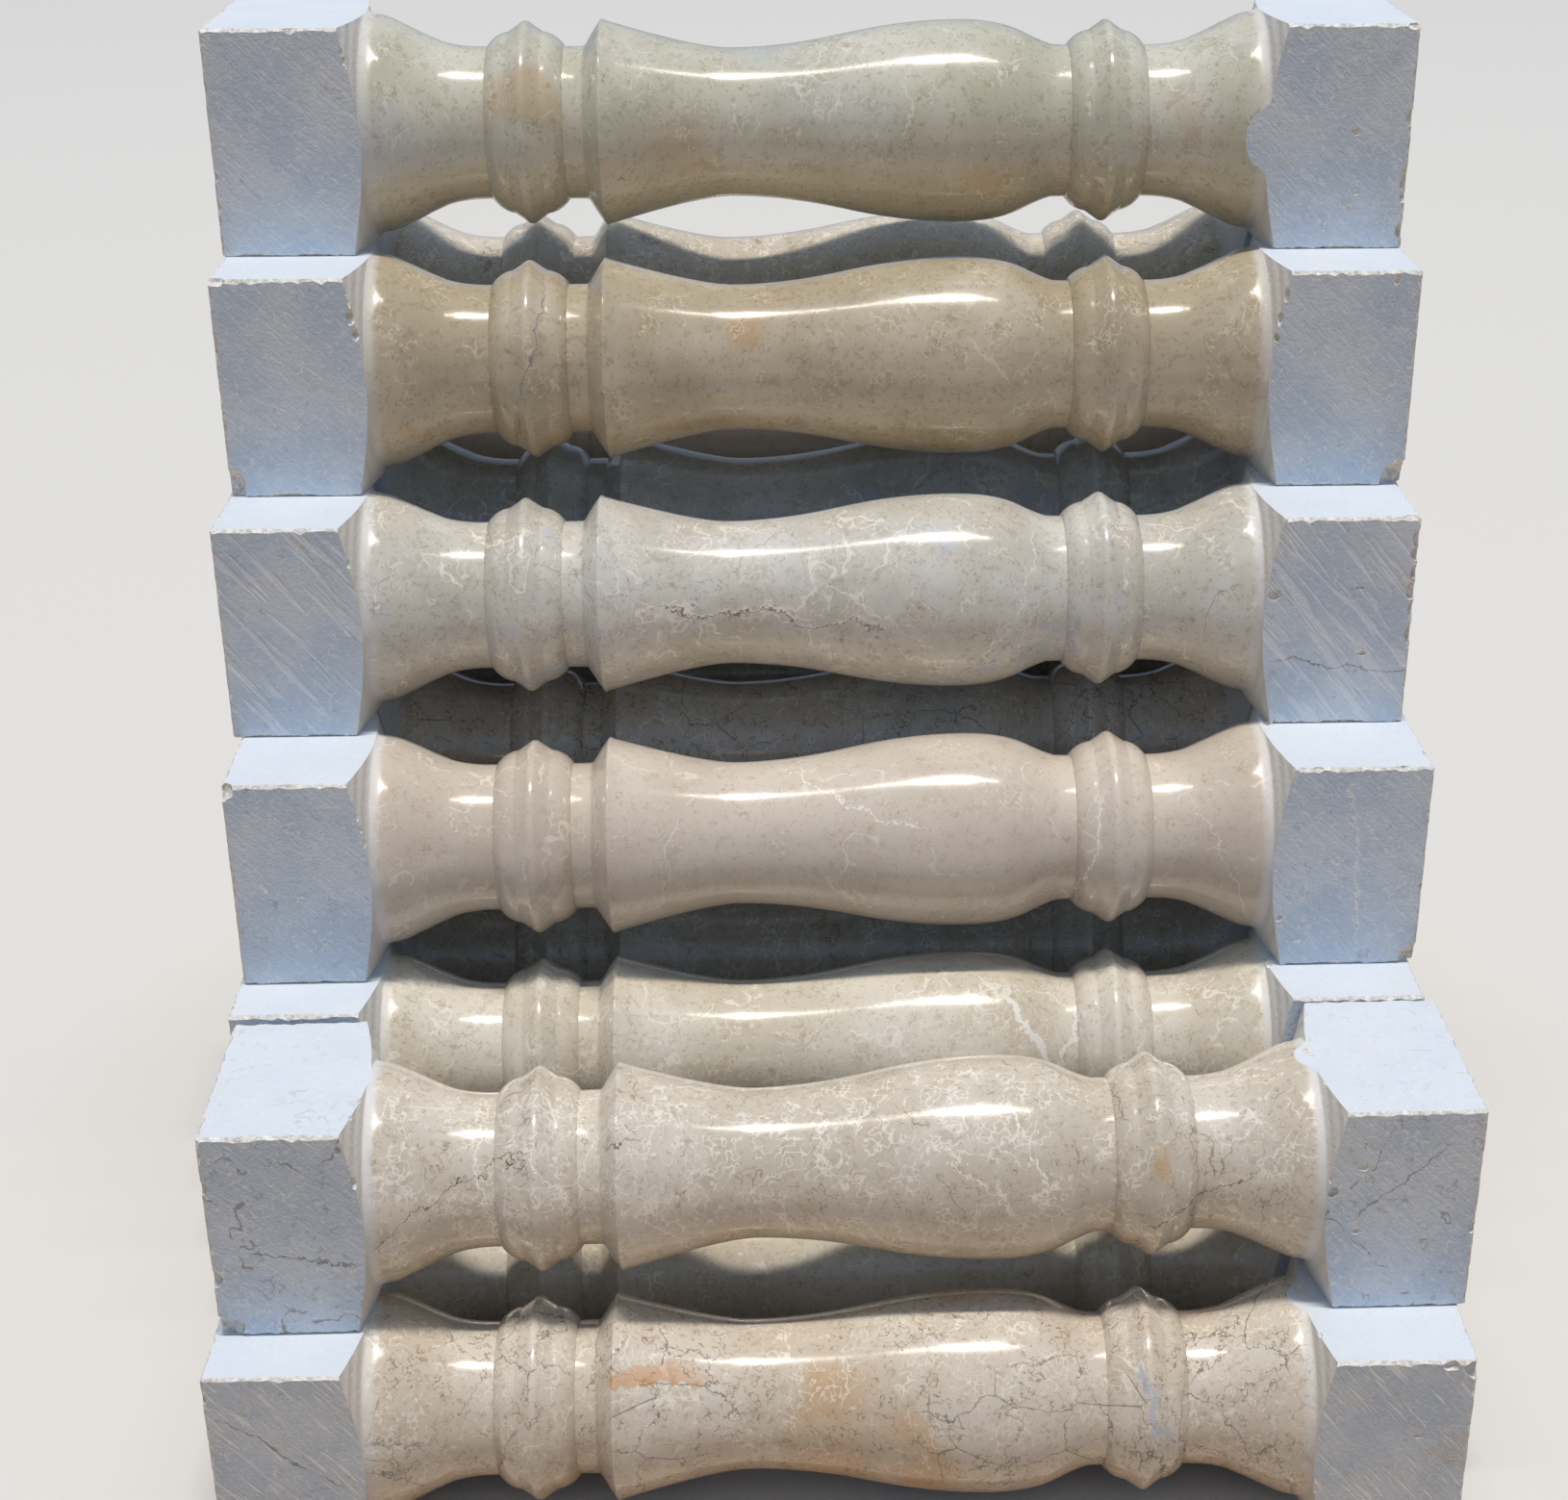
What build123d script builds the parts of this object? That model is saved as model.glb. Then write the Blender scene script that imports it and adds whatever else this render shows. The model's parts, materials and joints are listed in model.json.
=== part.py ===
from build123d import *
from math import radians, sin
import os

# Dry stack of turned stone balusters, lying lengthwise along X with their square ends on each other.
# Millimetres, Z up, the front of the stack faces -Y, and the stack stands on Z = 0.

os.makedirs("parts", exist_ok=True)

# Square blank
SIDE = 130.0
LENGTH = 709.0
BLOCK = 77.5

# Shoulder between the square block and the turned part
SHOULDER = 9.0
RIM_UNDER = 0.6
LIP = 4.5
LIP_DROP = 1.2

# Bells: a rounded lip, a straight flank and a hollow that runs into the neck
BELL = 59.0
BELL_ROUND = 9.0
BELL_ROUND_DROP = 1.9
BELL_HOLLOW = 20.0
BELL_HOLLOW_RISE = 4.0

# Necks and rings
NECK_RADIUS = 44.4
RING_WIDTH = 47.0
RING_RADIUS = 59.0
RING_STEP = 1.0
RING_ROUND = 13.2
RING_ROUND_RISE = 7.7
RING_CREST = 3.0
RING_CREST_DROP = 1.0
TOP_RING_NECK = 6.7
FOOT_RING_NECK = 5.1

# Collar and flare between the top ring and the pointed ridge
COLLAR = 11.5
FLARE = 10.5
FLARE_HOLLOW = 2.2

# Vase between the pointed ridge and the ring near the foot
RIDGE_RADIUS = 60.0
WAIST_RADIUS = 43.4
WAIST_FROM_RIDGE = 77.0
BELLY_RADIUS = 59.2
BELLY_TO_NECK = 61.1

# Dowel holes in the two end faces
DOWEL_RADIUS = 20.0
DOWEL_DEPTH = 60.0

# Stack: how far the front of each course stands before the front of the top course
COURSE_FRONTS = [0.0, 58.0, 120.0, 191.0, 368.0, 415.0]
COURSE_COUNTS = [1, 2, 3, 4, 6, 7]
JOINT = 3.0

# The front baluster of a course may lie a little askew, in degrees
COURSE_TURNS = [0.0, 0.0, 0.0, 0.3, 0.4, -0.7]

# Small shifts along X of the balusters, as they were laid down by hand, from front to back
COURSE_SHIFTS = [
    [0.0],
    [1.0, -3.0],
    [-1.0, 4.0, -2.0],
    [3.5, -1.5, 2.5, -4.0],
    [6.5, 1.0, -3.5, 3.5, -1.0, 2.0],
    [3.0, -2.0, 4.5, -4.0, 1.0, -2.5, 3.5],
]

# Radii that follow from the sizes above
rim_radius = SIDE / 2 - RIM_UNDER
lip_radius = rim_radius - LIP_DROP
corner_radius = SIDE / 2 * 2**0.5
shoulder_slope = (corner_radius - SIDE / 2) / SHOULDER
outside = SIDE


def ring(start):
    """Profile of one ring: a blunt crest between two quarter rounds, each on a small step."""
    end = start + RING_WIDTH
    mid = start + RING_WIDTH / 2
    foot = NECK_RADIUS + RING_STEP
    shelf = foot + RING_ROUND_RISE
    crest = RING_RADIUS - RING_CREST_DROP
    rise = start + RING_ROUND
    fall = end - RING_ROUND
    rise_mid = (start + RING_ROUND * 0.44, foot + RING_ROUND_RISE * 0.64)
    fall_mid = (end - RING_ROUND * 0.44, foot + RING_ROUND_RISE * 0.64)
    return [
        Line((start, NECK_RADIUS), (start, foot)),
        ThreePointArc((start, foot), rise_mid, (rise, shelf)),
        Line((rise, shelf), (mid - RING_CREST, crest)),
        ThreePointArc((mid - RING_CREST, crest), (mid, RING_RADIUS), (mid + RING_CREST, crest)),
        Line((mid + RING_CREST, crest), (fall, shelf)),
        ThreePointArc((fall, shelf), fall_mid, (end, foot)),
        Line((end, foot), (end, NECK_RADIUS)),
    ]


def bell(lip_x, way):
    """Profile of a bell from its lip down to the neck, running along X in the given way."""
    neck_x = lip_x + way * BELL
    lip = (lip_x, lip_radius)
    flank_top = (lip_x + way * BELL_ROUND, lip_radius - BELL_ROUND_DROP)
    flank_foot = (neck_x - way * BELL_HOLLOW, NECK_RADIUS + BELL_HOLLOW_RISE)
    neck = (neck_x, NECK_RADIUS)
    return [
        TangentArc(lip, flank_top, tangent=(way, 0)),
        Line(flank_top, flank_foot),
        TangentArc(neck, flank_foot, tangent=(-way, 0)),
    ]


def level_swing(start, end):
    """Two arcs that join two points, level at both of them."""
    mid = ((start[0] + end[0]) / 2, (start[1] + end[1]) / 2)
    return [
        TangentArc(start, mid, tangent=(1, 0)),
        TangentArc(end, mid, tangent=(-1, 0)),
    ]


def turned_outline():
    """Half outline of everything the lathe cuts, from the top end to the foot end."""
    top_rim = BLOCK + SHOULDER
    top_lip = top_rim + LIP
    top_neck = top_lip + BELL
    top_ring = top_neck + TOP_RING_NECK
    collar = top_ring + RING_WIDTH
    flare = collar + COLLAR
    hollow = (flare + FLARE_HOLLOW, NECK_RADIUS + FLARE_HOLLOW)
    ridge = (flare + FLARE, RIDGE_RADIUS)
    foot_rim = LENGTH - BLOCK - SHOULDER
    foot_lip = foot_rim - LIP
    foot_neck = foot_lip - BELL
    foot_ring = foot_neck - FOOT_RING_NECK - RING_WIDTH
    vase_neck = (foot_ring - FOOT_RING_NECK, NECK_RADIUS)
    waist = (ridge[0] + WAIST_FROM_RIDGE, WAIST_RADIUS)
    belly = (vase_neck[0] - BELLY_TO_NECK, BELLY_RADIUS)
    shoulder_rise = (outside - rim_radius) / shoulder_slope
    return [
        Polyline(
            (0, 0),
            (0, outside),
            (top_rim - shoulder_rise, outside),
            (top_rim, rim_radius),
            (top_lip, lip_radius),
        ),
        *bell(top_lip, 1),
        Line((top_neck, NECK_RADIUS), (top_ring, NECK_RADIUS)),
        *ring(top_ring),
        Line((collar, NECK_RADIUS), (flare, NECK_RADIUS)),
        TangentArc((flare, NECK_RADIUS), hollow, tangent=(1, 0)),
        Line(hollow, ridge),
        TangentArc(waist, ridge, tangent=(-1, 0)),
        *level_swing(waist, belly),
        *level_swing(belly, vase_neck),
        Line(vase_neck, (foot_ring, NECK_RADIUS)),
        *ring(foot_ring),
        Line((foot_ring + RING_WIDTH, NECK_RADIUS), (foot_neck, NECK_RADIUS)),
        *bell(foot_lip, -1),
        Polyline(
            (foot_lip, lip_radius),
            (foot_rim, rim_radius),
            (foot_rim + shoulder_rise, outside),
            (LENGTH, outside),
            (LENGTH, 0),
            (0, 0),
        ),
    ]


def baluster():
    """One baluster with its axis on X, its top end at X = 0 and its underside on Z = 0."""
    turned = revolve(make_face(turned_outline()), axis=Axis.X)
    blank = Box(LENGTH, SIDE, SIDE, align=(Align.MIN, Align.CENTER, Align.CENTER))
    dowel = Cylinder(DOWEL_RADIUS, DOWEL_DEPTH, align=(Align.CENTER, Align.CENTER, Align.MIN))
    top_dowel = Rot(0, 90, 0) * dowel
    foot_dowel = Pos(LENGTH, 0, 0) * Rot(0, -90, 0) * dowel
    return Pos(0, 0, SIDE / 2) * ((blank & turned) - top_dowel - foot_dowel)


def swing(course):
    """How far the ends of the front baluster of a course stand out, since it lies askew."""
    return LENGTH / 2 * sin(radians(abs(COURSE_TURNS[course])))


def course_reach(course):
    """Front and back of a course, counted from the front of the top course."""
    front = -COURSE_FRONTS[course]
    count = COURSE_COUNTS[course]
    back = front + count * SIDE + (count - 1) * JOINT + swing(course)
    return front - swing(course), back


# Centre of the footprint, so that the stack stands round the origin
reaches = [course_reach(course) for course in range(len(COURSE_COUNTS))]
mid_y = (min(front for front, _ in reaches) + max(back for _, back in reaches)) / 2
all_shifts = [shift for row in COURSE_SHIFTS for shift in row]
mid_x = (min(all_shifts) + max(all_shifts)) / 2

# Lay every course, the top one first, each baluster a node of its own
model = Pos(-LENGTH / 2, 0, 0) * baluster()
course_total = len(COURSE_COUNTS)
for course, count in enumerate(COURSE_COUNTS):
    height = (course_total - 1 - course) * SIDE
    for place in range(count):
        centre_y = -COURSE_FRONTS[course] + SIDE / 2 + place * (SIDE + JOINT)
        turn = COURSE_TURNS[course] if place == 0 else 0
        clear = 0 if place == 0 else swing(course)
        centre = Pos(COURSE_SHIFTS[course][place] - mid_x, centre_y + clear - mid_y, height)
        laid = centre * Rot(0, 0, turn) * model
        export_step(laid, f"parts/course_{course + 1}_baluster_{place + 1}.step")
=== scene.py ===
import json
import math
import random
import bmesh
import bpy
from mathutils import Matrix, Vector

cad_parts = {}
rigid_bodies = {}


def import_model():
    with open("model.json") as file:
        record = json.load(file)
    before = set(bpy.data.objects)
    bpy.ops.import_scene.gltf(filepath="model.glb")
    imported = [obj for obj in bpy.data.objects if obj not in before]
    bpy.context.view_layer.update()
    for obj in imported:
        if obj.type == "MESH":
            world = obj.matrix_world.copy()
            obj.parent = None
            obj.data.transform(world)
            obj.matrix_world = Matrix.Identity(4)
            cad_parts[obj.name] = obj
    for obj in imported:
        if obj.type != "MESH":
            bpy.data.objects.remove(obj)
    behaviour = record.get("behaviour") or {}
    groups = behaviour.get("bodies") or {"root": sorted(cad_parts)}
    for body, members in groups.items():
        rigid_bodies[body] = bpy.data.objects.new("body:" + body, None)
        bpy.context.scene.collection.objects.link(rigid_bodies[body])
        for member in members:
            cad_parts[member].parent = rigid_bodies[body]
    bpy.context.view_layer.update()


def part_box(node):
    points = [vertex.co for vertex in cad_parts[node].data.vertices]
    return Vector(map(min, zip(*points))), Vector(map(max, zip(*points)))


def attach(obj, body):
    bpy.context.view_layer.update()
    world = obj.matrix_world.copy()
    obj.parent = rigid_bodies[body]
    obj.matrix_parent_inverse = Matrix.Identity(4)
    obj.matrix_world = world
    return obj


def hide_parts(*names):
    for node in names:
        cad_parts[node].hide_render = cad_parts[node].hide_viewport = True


for startPiece in list(bpy.data.objects):
    bpy.data.objects.remove(startPiece)
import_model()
mm = 0.001


# small helpers: hex colours, nodes, plain object handling

def linearColour(hexColour):
    channels = [int(hexColour[i:i + 2], 16) / 255 for i in (0, 2, 4)]
    lit = [c / 12.92 if c <= 0.04045 else ((c + 0.055) / 1.055) ** 2.4 for c in channels]
    return (*lit, 1.0)


def addNode(tree, kind, links=None, **settings):
    made = tree.nodes.new(kind)
    for key, value in settings.items():
        setattr(made, key, value)
    for key, value in (links or {}).items():
        if isinstance(value, bpy.types.NodeSocket):
            tree.links.new(value, made.inputs[key])
        else:
            made.inputs[key].default_value = value
    return made


def deselectAll():
    for other in bpy.context.selected_objects:
        other.select_set(False)


def onlyActive(piece):
    deselectAll()
    piece.select_set(True)
    bpy.context.view_layer.objects.active = piece


def copyOf(piece, name):
    made = piece.copy()
    made.data = piece.data.copy()
    made.name = name
    made.data.name = name
    bpy.context.scene.collection.objects.link(made)
    return made


def placeMesh(piece, matrix):
    piece.data.transform(matrix)
    piece.data.update()


def cutWith(piece, tool, operation):
    onlyActive(piece)
    boolean = piece.modifiers.new("cut", "BOOLEAN")
    boolean.object = tool
    boolean.operation = operation
    boolean.solver = "MANIFOLD"
    bpy.ops.object.modifier_apply(modifier=boolean.name)


def dropObject(piece):
    mesh = piece.data
    bpy.data.objects.remove(piece)
    bpy.data.meshes.remove(mesh)


deselectAll()  # the loaded nodes come in selected

# camera at the photograph's viewing angle

cameraSetup = {
    "place": (2.497, -12.426, 1.798),  # in block sides, from the top baluster's front left upper corner
    "pitch": 27.44, "yaw": 2.2, "roll": 0.07,  # degrees down, to the right and over
    "focalPixels": 2766, "centrePixels": (903, 991), "imagePixels": (1630, 1559),
    "filmMm": 36, "clipEnd": 100,
}
lowest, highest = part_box("course_1_baluster_1")
side = highest.z - lowest.z
corner = Vector((lowest.x, lowest.y, highest.z))


def makeCamera(setup):
    pitch, yaw, roll = (math.radians(setup[key]) for key in ("pitch", "yaw", "roll"))
    forward = Vector((math.sin(yaw) * math.cos(pitch), math.cos(yaw) * math.cos(pitch), -math.sin(pitch)))
    level = Vector((math.cos(yaw), -math.sin(yaw), 0))
    upright = level.cross(forward)
    right = level * math.cos(roll) + upright * math.sin(roll)
    up = upright * math.cos(roll) - level * math.sin(roll)
    place = corner + Vector(setup["place"]) * side
    bpy.ops.object.camera_add(location=place)
    camera = bpy.context.object
    camera.matrix_world = Matrix.Translation(place) @ Matrix((right, up, -forward)).transposed().to_4x4()
    width, height = setup["imagePixels"]
    centreX, centreY = setup["centrePixels"]
    camera.data.sensor_width = setup["filmMm"]
    camera.data.lens = setup["focalPixels"] / width * setup["filmMm"]
    camera.data.shift_x = (width / 2 - centreX) / width
    camera.data.shift_y = (centreY - height / 2) / width
    camera.data.clip_end = setup["clipEnd"]
    bpy.context.scene.camera = camera


makeCamera(cameraSetup)
print("stage: camera set")


# materials

pattern = {
    "blotchRough": 0.58, "curlRough": 0.5, "curlFade": 0.07,
    "netRough": 0.66, "netDetail": 3.0, "netKink": 0.4, "netFade": 0.08,  # the kink in cells
    "rippleMm": 26, "rippleRough": 0.72, "rippleDetail": 4.0, "crackTail": 0.7,  # the tail in reaches
}


# Patterns that run through the whole stone: soft blotches, short curls of shell, long threads, a net
# of healed cracks, and single cracks or veins, each of which is a wavy plane through the block. The
# curls and threads show in the light and in the dark patches of the blotches, in turn.
def stonePattern(tree, place, look):
    colour = linearColour(look["base"])
    clouds = []
    for hexColour, sizeMm, detail, low, high, share in look["blotches"]:
        cloud = addNode(
            tree, "ShaderNodeTexNoise",
            {
                "Vector": place, "Scale": 1000 / sizeMm, "Detail": detail,
                "Roughness": pattern["blotchRough"],
            },
        )
        clouds.append(cloud.outputs["Fac"])
        mask = addNode(
            tree, "ShaderNodeMapRange",
            {"Value": cloud.outputs["Fac"], "From Min": low, "From Max": high, "To Max": share},
            interpolation_type="SMOOTHSTEP",
        )
        colour = addNode(
            tree, "ShaderNodeMix",
            {0: mask.outputs["Result"], 6: colour, 7: linearColour(hexColour)}, data_type="RGBA",
        ).outputs[2]

    # a curl or a thread is a stretch of a contour line of a noise
    for number, (hexColour, sizeMm, detail, level, halfWidth, pickFrom, share) in enumerate(look["curls"]):
        bent = addNode(
            tree, "ShaderNodeTexNoise",
            {
                "Vector": place, "Scale": 1000 / sizeMm, "Detail": detail,
                "Roughness": pattern["curlRough"],
            },
        )
        line = addNode(
            tree, "ShaderNodeMath", {0: bent.outputs["Fac"], 1: level, 2: halfWidth}, operation="COMPARE",
        )
        inLight = (pickFrom, pickFrom + pattern["curlFade"])
        inDark = (1 - pickFrom, 1 - pickFrom - pattern["curlFade"])
        low, high = inDark if number % 2 else inLight
        kept = addNode(
            tree, "ShaderNodeMapRange",
            {"Value": clouds[1], "From Min": low, "From Max": high, "To Max": share},
        )
        mask = addNode(
            tree, "ShaderNodeMath", {0: line.outputs[0], 1: kept.outputs["Result"]}, operation="MULTIPLY",
        )
        colour = addNode(
            tree, "ShaderNodeMix",
            {0: mask.outputs[0], 6: colour, 7: linearColour(hexColour)}, data_type="RGBA",
        ).outputs[2]

    # a net is the bent borders of Voronoi cells
    for hexColour, cellMm, bendMm, widthMm, pickFrom, share in look["nets"]:
        warp = addNode(
            tree, "ShaderNodeTexNoise",
            {
                "Vector": place, "Scale": 1000 / (cellMm * pattern["netKink"]),
                "Detail": pattern["netDetail"], "Roughness": pattern["netRough"],
            },
        )
        bent = addNode(
            tree, "ShaderNodeVectorMath",
            {0: warp.outputs["Fac"], 1: (bendMm * mm, bendMm * mm, -bendMm * mm), 2: place},
            operation="MULTIPLY_ADD",
        )
        cells = addNode(
            tree, "ShaderNodeTexVoronoi", {"Vector": bent.outputs["Vector"], "Scale": 1000 / cellMm},
            feature="DISTANCE_TO_EDGE",
        )
        line = addNode(
            tree, "ShaderNodeMapRange",
            {"Value": cells.outputs["Distance"], "From Min": widthMm / cellMm, "From Max": 0.0},
        )
        kept = addNode(
            tree, "ShaderNodeMapRange",
            {
                "Value": clouds[0], "From Min": pickFrom, "From Max": pickFrom + pattern["netFade"],
                "To Max": share,
            },
        )
        mask = addNode(
            tree, "ShaderNodeMath", {0: line.outputs["Result"], 1: kept.outputs["Result"]},
            operation="MULTIPLY",
        )
        colour = addNode(
            tree, "ShaderNodeMix",
            {0: mask.outputs[0], 6: colour, 7: linearColour(hexColour)}, data_type="RGBA",
        ).outputs[2]

    # all cracks share one ripple, and each ends softly at its reach
    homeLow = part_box(look["home"])[0]
    ripple = addNode(
        tree, "ShaderNodeTexNoise",
        {
            "Vector": place, "Scale": 1000 / pattern["rippleMm"], "Detail": pattern["rippleDetail"],
            "Roughness": pattern["rippleRough"],
        },
    )
    for hexColour, spot, normal, reachMm, widthMm, waveMm, share in look["cracks"]:
        arm = addNode(
            tree, "ShaderNodeVectorMath", {0: place, 1: homeLow + Vector(spot) * mm}, operation="SUBTRACT",
        )
        across = addNode(
            tree, "ShaderNodeVectorMath",
            {0: arm.outputs["Vector"], 1: Vector(normal).normalized()}, operation="DOT_PRODUCT",
        )
        bowed = addNode(
            tree, "ShaderNodeMath",
            {0: ripple.outputs["Fac"], 1: waveMm * 2 * mm, 2: across.outputs["Value"]},
            operation="MULTIPLY_ADD",
        )
        line = addNode(
            tree, "ShaderNodeMath", {0: bowed.outputs[0], 1: waveMm * mm, 2: widthMm / 2 * mm},
            operation="COMPARE",
        )
        far = addNode(tree, "ShaderNodeVectorMath", {0: arm.outputs["Vector"]}, operation="LENGTH")
        kept = addNode(
            tree, "ShaderNodeMapRange",
            {
                "Value": far.outputs["Value"], "From Min": reachMm * mm,
                "From Max": reachMm * pattern["crackTail"] * mm, "To Max": share,
            },
        )
        mask = addNode(
            tree, "ShaderNodeMath", {0: line.outputs[0], 1: kept.outputs["Result"]}, operation="MULTIPLY",
        )
        colour = addNode(
            tree, "ShaderNodeMix",
            {0: mask.outputs[0], 6: colour, 7: linearColour(hexColour)}, data_type="RGBA",
        ).outputs[2]
    return colour, clouds


polishedFinish = {
    "chalk": "DEE1E5", "dull": (-0.1, 0.65), "unevenness": 0.5,  # dull from and fully dull at
    "gloss": (0.3, 0.7), "roughness": (0.13, 0.19),  # the roughness at these levels of the flecks
    "dullRoughness": 0.45, "ior": 1.58,
}


# Crema limestone, ground and polished: a glassy cream surface with clouds, shell curls and fine veins
def polishedLimestone(name, look):
    material = bpy.data.materials.new(name)
    material.use_nodes = True
    tree = material.node_tree
    shader = tree.nodes["Principled BSDF"]
    place = addNode(tree, "ShaderNodeTexCoord").outputs["Object"]
    colour, clouds = stonePattern(tree, place, look)

    # towards the rims the polish runs out and the stone turns chalky
    finish = polishedFinish
    rim = addNode(tree, "ShaderNodeAttribute", attribute_name="rimFade")
    uneven = clouds[2]
    edge = addNode(
        tree, "ShaderNodeMath", {0: uneven, 1: -finish["unevenness"], 2: rim.outputs["Fac"]},
        operation="MULTIPLY_ADD",
    )
    dull = addNode(
        tree, "ShaderNodeMapRange",
        {"Value": edge.outputs[0], "From Min": finish["dull"][0], "From Max": finish["dull"][1]},
        interpolation_type="SMOOTHSTEP",
    )
    chalk = addNode(
        tree, "ShaderNodeMath", {0: dull.outputs["Result"], 1: look["chalkShare"]}, operation="MULTIPLY",
    )
    colour = addNode(
        tree, "ShaderNodeMix",
        {0: chalk.outputs[0], 6: colour, 7: linearColour(finish["chalk"])}, data_type="RGBA",
    ).outputs[2]
    gloss = addNode(
        tree, "ShaderNodeMapRange",
        {
            "Value": uneven, "From Min": finish["gloss"][0], "From Max": finish["gloss"][1],
            "To Min": finish["roughness"][0], "To Max": finish["roughness"][1],
        },
    )
    roughness = addNode(
        tree, "ShaderNodeMath",
        {0: dull.outputs["Result"], 1: finish["dullRoughness"], 2: gloss.outputs["Result"]},
        operation="MULTIPLY_ADD",
    )
    tree.links.new(colour, shader.inputs["Base Color"])
    tree.links.new(roughness.outputs[0], shader.inputs["Roughness"])
    shader.inputs["IOR"].default_value = finish["ior"]
    return material


sawnFinish = {
    "line": "F2F3F6", "lineLevels": (0.53, 0.62), "acrossStroke": 1.7, "lineRough": 0.6,
    # the paler plain colour for the upper and lower faces, and its share, are painted light on the tops
    "paintedTopLight": "D5DCE5", "paintedTopLightShare": 0.7,
    "grainMm": 2.0, "grainRough": 0.7, "lineDepth": 3.0, "bump": 0.6, "reliefMm": 0.7,
    "roughness": 0.82, "ior": 1.55,
}


# The same stone straight from the saw: matt, pale and bluish, with saw lines, pits and hairlines
def sawnLimestone(name, look):
    material = bpy.data.materials.new(name)
    material.use_nodes = True
    tree = material.node_tree
    shader = tree.nodes["Principled BSDF"]
    place = addNode(tree, "ShaderNodeTexCoord").outputs["Object"]
    colour = stonePattern(tree, place, look)[0]

    # saw lines lean down to the right across the front and back: a noise stretched along the blade's stroke
    finish = sawnFinish
    sawLean, sawMm, strokeMm, sawShare = look["saw"]
    stroke = addNode(
        tree, "ShaderNodeMapping",
        {
            "Vector": place, "Rotation": (0, math.radians(sawLean), 0),
            "Scale": (strokeMm / sawMm, finish["acrossStroke"], 1.0),
        },
        vector_type="TEXTURE",
    )
    strokes = addNode(
        tree, "ShaderNodeTexNoise",
        {
            "Vector": stroke.outputs["Vector"], "Scale": 1000 / sawMm, "Detail": 2.0,
            "Roughness": finish["lineRough"],
        },
    )
    surface = addNode(tree, "ShaderNodeNewGeometry")
    facing = addNode(tree, "ShaderNodeSeparateXYZ", {"Vector": surface.outputs["True Normal"]})
    frontOrBack = addNode(
        tree, "ShaderNodeMath", {0: facing.outputs["Y"], 1: facing.outputs["Y"]}, operation="MULTIPLY",
    )
    # the upper and lower faces are painted paler and plainer: painted light, standing in for the overhead
    # light that washes out the tops
    upOrDown = addNode(
        tree, "ShaderNodeMath", {0: facing.outputs["Z"], 1: facing.outputs["Z"]}, operation="MULTIPLY",
    )
    paintedTopLightMask = addNode(
        tree, "ShaderNodeMath", {0: upOrDown.outputs[0], 1: finish["paintedTopLightShare"]}, operation="MULTIPLY",
    )
    colour = addNode(
        tree, "ShaderNodeMix",
        {0: paintedTopLightMask.outputs[0], 6: colour, 7: linearColour(finish["paintedTopLight"])}, data_type="RGBA",
    ).outputs[2]
    deepest = addNode(
        tree, "ShaderNodeMath", {0: frontOrBack.outputs[0], 1: sawShare}, operation="MULTIPLY",
    )
    low, high = finish["lineLevels"]
    sawMask = addNode(
        tree, "ShaderNodeMapRange",
        {"Value": strokes.outputs["Fac"], "From Min": low, "From Max": high, "To Max": deepest.outputs[0]},
    )
    colour = addNode(
        tree, "ShaderNodeMix",
        {0: sawMask.outputs["Result"], 6: colour, 7: linearColour(finish["line"])}, data_type="RGBA",
    ).outputs[2]

    # the lines are cut in, and the rest is grainy
    grain = addNode(
        tree, "ShaderNodeTexNoise",
        {
            "Vector": place, "Scale": 1000 / finish["grainMm"], "Detail": 2.0,
            "Roughness": finish["grainRough"],
        },
    )
    height = addNode(
        tree, "ShaderNodeMath",
        {0: sawMask.outputs["Result"], 1: -finish["lineDepth"], 2: grain.outputs["Fac"]},
        operation="MULTIPLY_ADD",
    )
    bump = addNode(
        tree, "ShaderNodeBump",
        {"Height": height.outputs[0], "Strength": finish["bump"], "Distance": finish["reliefMm"] * mm},
    )
    tree.links.new(colour, shader.inputs["Base Color"])
    tree.links.new(bump.outputs["Normal"], shader.inputs["Normal"])
    shader.inputs["Roughness"].default_value = finish["roughness"]
    shader.inputs["IOR"].default_value = finish["ior"]
    return material


turnedFinish = {
    "hollow": "CFCCC6", "crest": "E6E4E0", "toolRingMm": 3.2, "ringWander": 1.2,
    "grainMm": 3.0, "grainRough": 0.65, "bump": 0.6, "reliefMm": 0.6, "roughness": 0.7, "ior": 1.55,
}


# Lathe-cut stone that was never polished: chalk white, with fine rings from the tool, drawn coarser
# than they are so that they show
def turnedLimestone(name):
    finish = turnedFinish
    material = bpy.data.materials.new(name)
    material.use_nodes = True
    tree = material.node_tree
    shader = tree.nodes["Principled BSDF"]
    place = addNode(tree, "ShaderNodeTexCoord").outputs["Object"]
    rings = addNode(
        tree, "ShaderNodeTexWave",
        {
            "Vector": place, "Scale": 1000 / finish["toolRingMm"] * math.tau / 20,  # 20 is Blender's own
            "Distortion": finish["ringWander"], "Detail": 2.0, "Detail Scale": 2.0,
        },
        bands_direction="X",
    )
    grain = addNode(
        tree, "ShaderNodeTexNoise",
        {
            "Vector": place, "Scale": 1000 / finish["grainMm"], "Detail": 3.0,
            "Roughness": finish["grainRough"],
        },
    )
    colour = addNode(
        tree, "ShaderNodeMix",
        {0: grain.outputs["Fac"], 6: linearColour(finish["hollow"]), 7: linearColour(finish["crest"])},
        data_type="RGBA",
    )
    height = addNode(
        tree, "ShaderNodeMath", {0: rings.outputs["Fac"], 1: grain.outputs["Fac"]}, operation="ADD",
    )
    bump = addNode(
        tree, "ShaderNodeBump",
        {"Height": height.outputs[0], "Strength": finish["bump"], "Distance": finish["reliefMm"] * mm},
    )
    tree.links.new(colour.outputs[2], shader.inputs["Base Color"])
    tree.links.new(bump.outputs["Normal"], shader.inputs["Normal"])
    shader.inputs["Roughness"].default_value = finish["roughness"]
    shader.inputs["IOR"].default_value = finish["ior"]
    return material


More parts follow.
